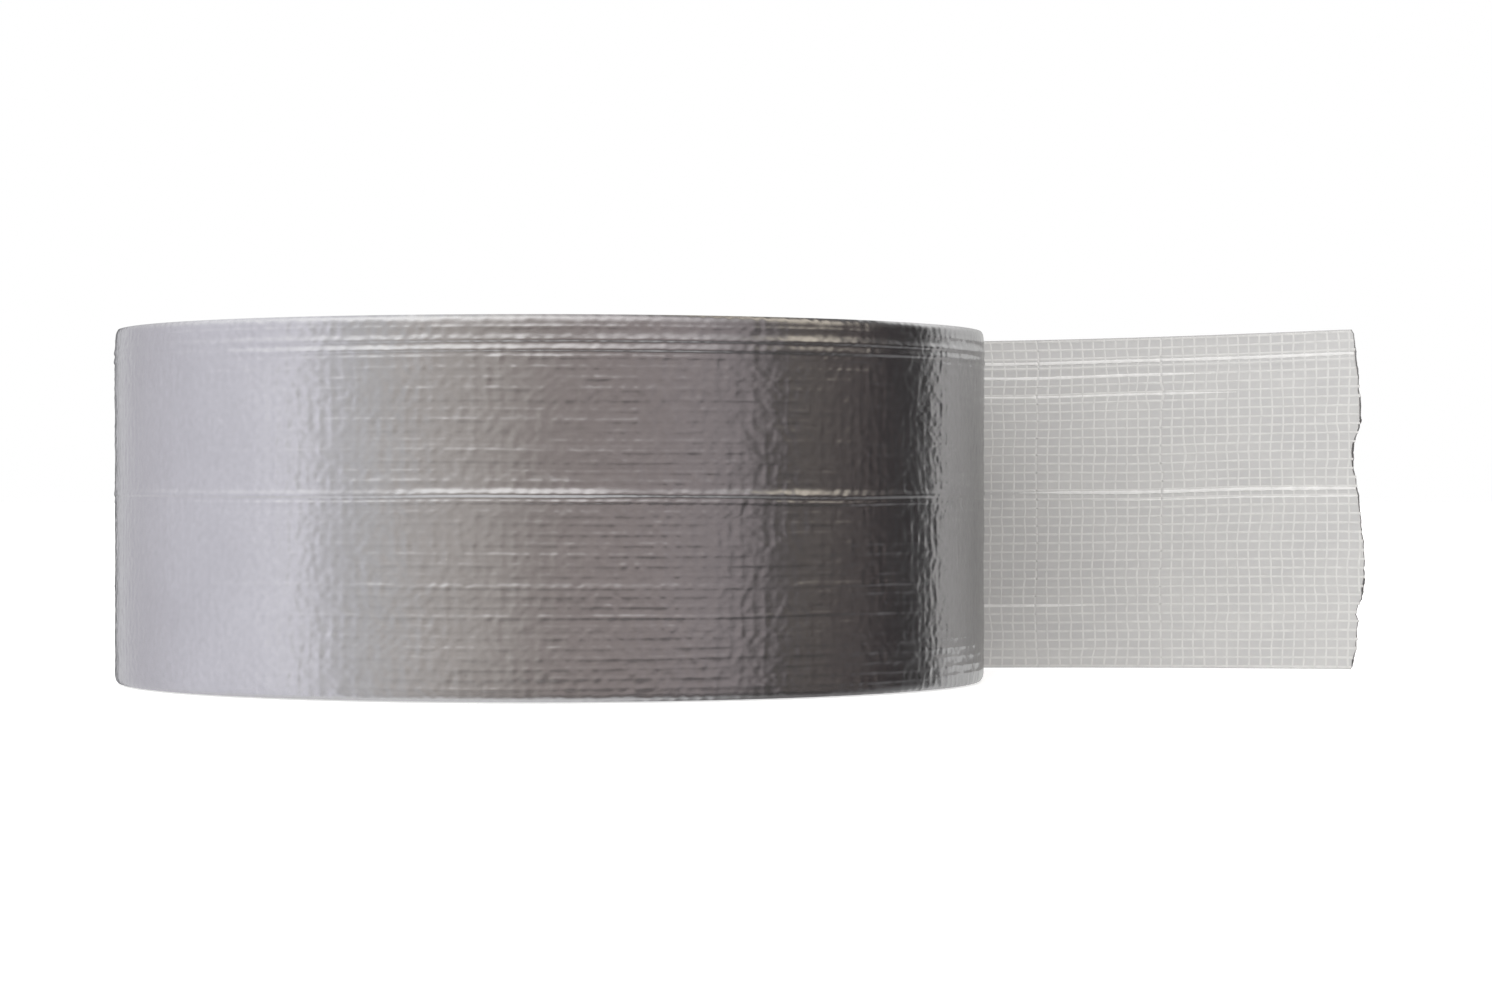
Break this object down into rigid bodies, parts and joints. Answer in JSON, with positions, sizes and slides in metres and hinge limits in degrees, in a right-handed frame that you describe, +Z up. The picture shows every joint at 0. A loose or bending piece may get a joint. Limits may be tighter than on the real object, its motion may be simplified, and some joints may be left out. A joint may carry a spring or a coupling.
{
  "type": "duct tape roll",
  "caption": "Roll of silver cloth-backed duct tape on a paperboard core, lying flat, with a torn free end peeled off the back.",
  "frame": {"origin": "on the core's axis, at the lower side face that the roll lies on", "axes": "+Z up the core's axis; the free end leaves the back (+Y) and runs to +X"},
  "size_m": [0.1731, 0.1198, 0.048],
  "materials": {
    "core_paper": "matte kraft paper",
    "core_board": "matte grey-brown paperboard",
    "wound_tape": "cut edges of wound tape, satin",
    "tape_film": "glossy silver polyethylene film",
    "tape_scrim": "open woven white cloth",
    "tape_adhesive": "tacky pale grey rubber adhesive"
  },
  "bodies": {
    "roll": {"core_inner_liner": "core_paper", "core_board_ply_1": "core_board", "core_board_ply_2": "core_board", "core_board_ply_3": "core_board", "core_board_ply_4": "core_board", "core_outer_liner": "core_paper", "wound_tape": "wound_tape", "outer_turn_film": "tape_film", "outer_turn_scrim": "tape_scrim", "outer_turn_adhesive": "tape_adhesive"},
    "peel_1": {"peel_1_film": "tape_film", "peel_1_scrim": "tape_scrim", "peel_1_adhesive": "tape_adhesive"},
    "peel_2": {"peel_2_film": "tape_film", "peel_2_scrim": "tape_scrim", "peel_2_adhesive": "tape_adhesive"},
    "lift": {"lift_film": "tape_film", "lift_scrim": "tape_scrim", "lift_adhesive": "tape_adhesive"},
    "tail_1": {"tail_1_film": "tape_film", "tail_1_scrim": "tape_scrim", "tail_1_adhesive": "tape_adhesive"},
    "tail_2": {"tail_2_film": "tape_film", "tail_2_scrim": "tape_scrim", "tail_2_adhesive": "tape_adhesive"},
    "tail_3": {"tail_3_film": "tape_film", "tail_3_scrim": "tape_scrim", "tail_3_adhesive": "tape_adhesive"}
  },
  "joints": [
    {"name": "peel_back_2", "type": "hinge", "parent": "roll", "child": "peel_1", "pos_m": [-0.01641, 0.05756, 0.024], "axis": [0, 0, 1], "range_deg": [0, 55]},
    {"name": "peel_back_1", "type": "hinge", "parent": "peel_1", "child": "peel_2", "pos_m": [0.0125, 0.05857, 0.024], "axis": [0, 0, 1], "range_deg": [0, 55]},
    {"name": "lift_off", "type": "hinge", "parent": "peel_2", "child": "lift", "pos_m": [0.03851, 0.04589, 0.024], "axis": [0, 0, 1], "range_deg": [0, 55]},
    {"name": "tail_1_flex", "type": "hinge", "parent": "lift", "child": "tail_1", "pos_m": [0.06001, 0.032, 0.024], "axis": [0, 0, 1], "range_deg": [-30, 35]},
    {"name": "tail_2_flex", "type": "hinge", "parent": "tail_1", "child": "tail_2", "pos_m": [0.07803, 0.02751, 0.024], "axis": [0, 0, 1], "range_deg": [-30, 30]},
    {"name": "tail_3_flex", "type": "hinge", "parent": "tail_2", "child": "tail_3", "pos_m": [0.09617, 0.01915, 0.024], "axis": [0, 0, 1], "range_deg": [-30, 30]}
  ]
}
